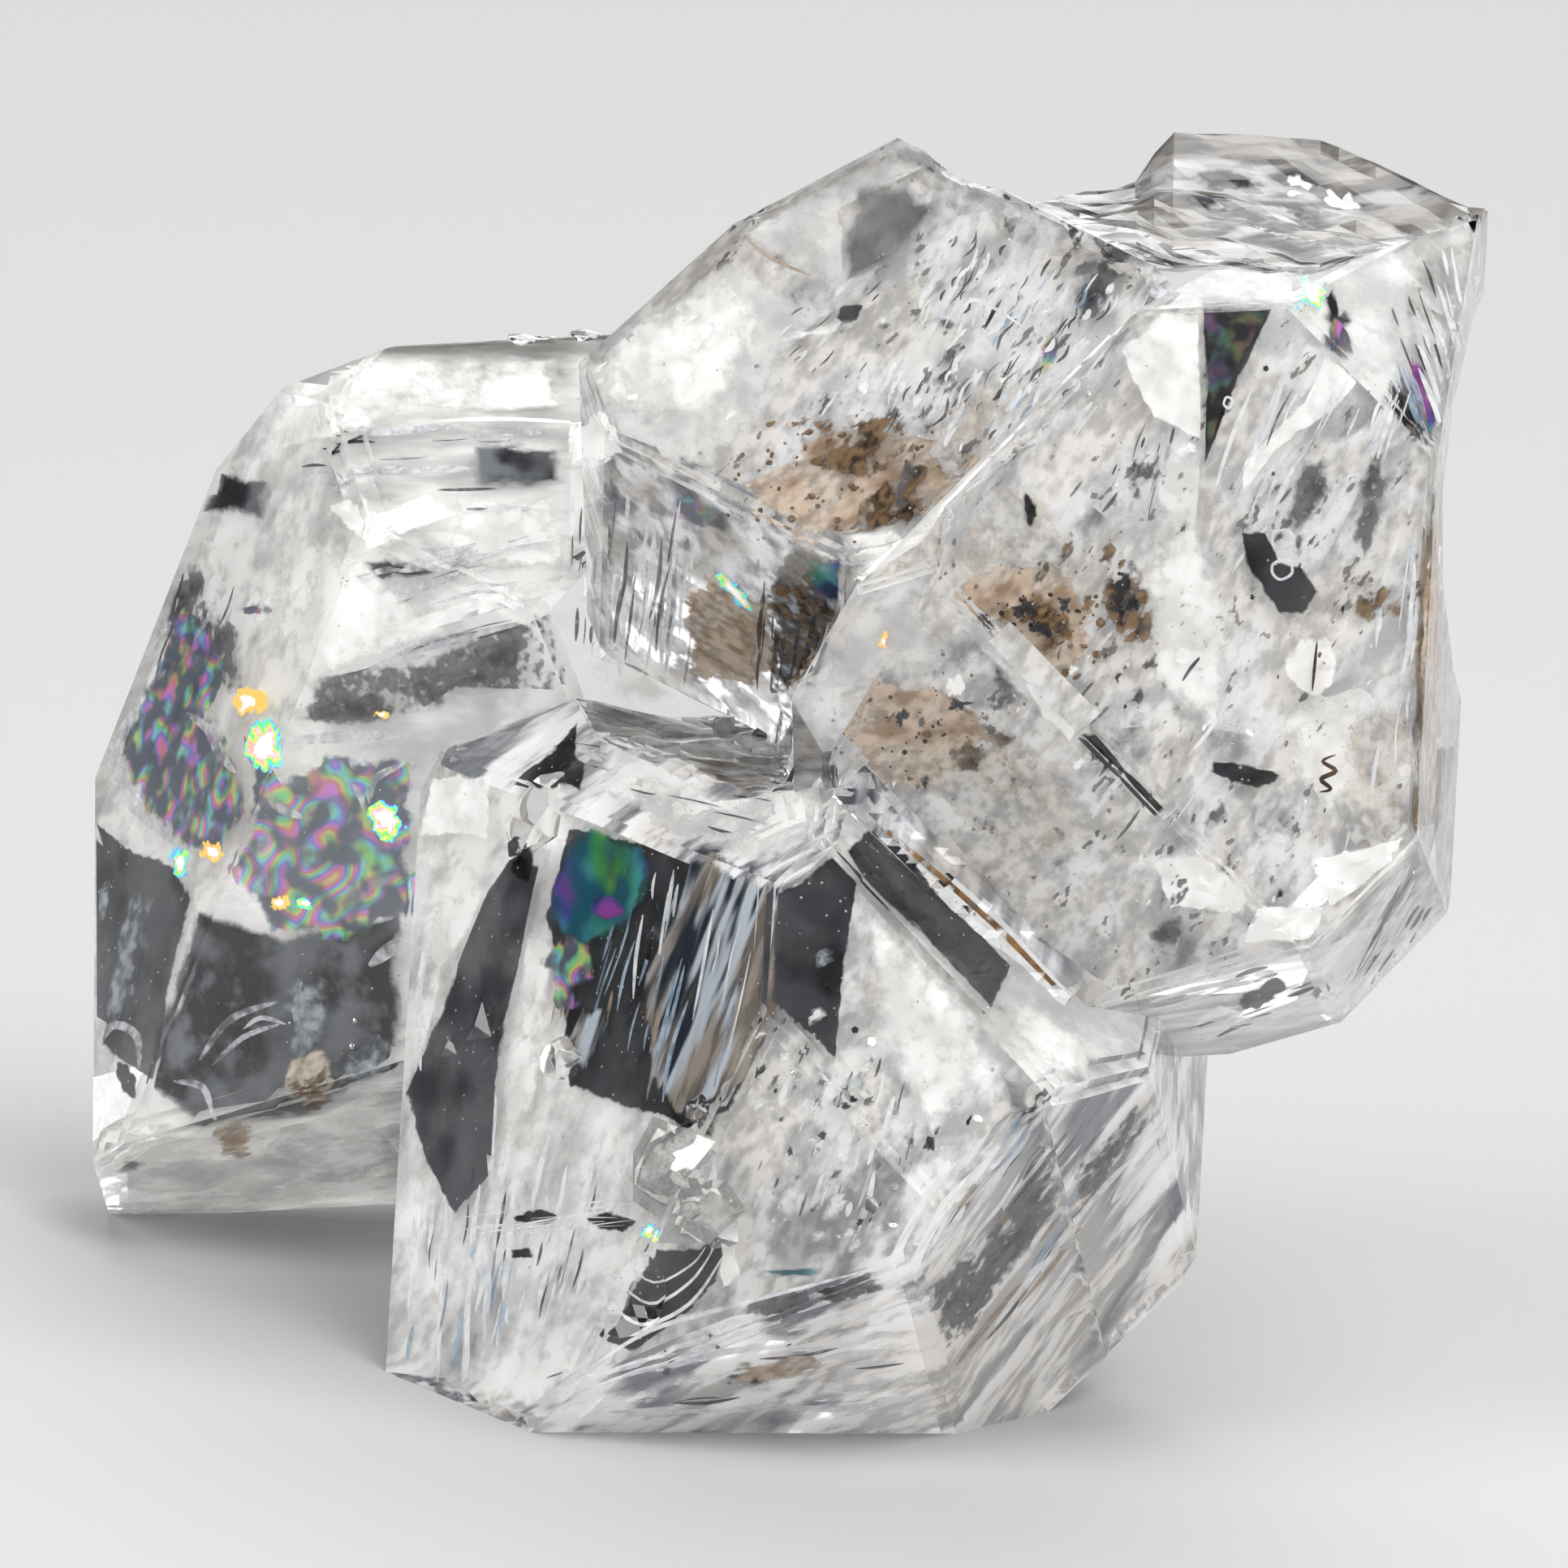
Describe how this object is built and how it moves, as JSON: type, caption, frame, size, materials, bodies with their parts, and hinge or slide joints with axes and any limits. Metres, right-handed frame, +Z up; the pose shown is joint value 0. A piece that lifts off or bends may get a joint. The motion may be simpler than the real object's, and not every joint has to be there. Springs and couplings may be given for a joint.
{
  "type": "herkimer diamond",
  "caption": "Cluster of intergrown, doubly pointed clear quartz crystals with flat prism and pyramid faces, a shell-shaped broken top and rough seams; stands on one crystal face.",
  "frame": {"origin": "on the horizontal lower face of the front crystal, which the cluster stands on", "axes": "+Z up, -Y towards the viewer of the front crystal, +X to that viewer's right"},
  "size_m": [0.0408, 0.0368, 0.039],
  "materials": {
    "clear_quartz": "clear, glossy"
  },
  "bodies": {
    "root": {"herkimer_cluster": "clear_quartz"}
  },
  "joints": []
}
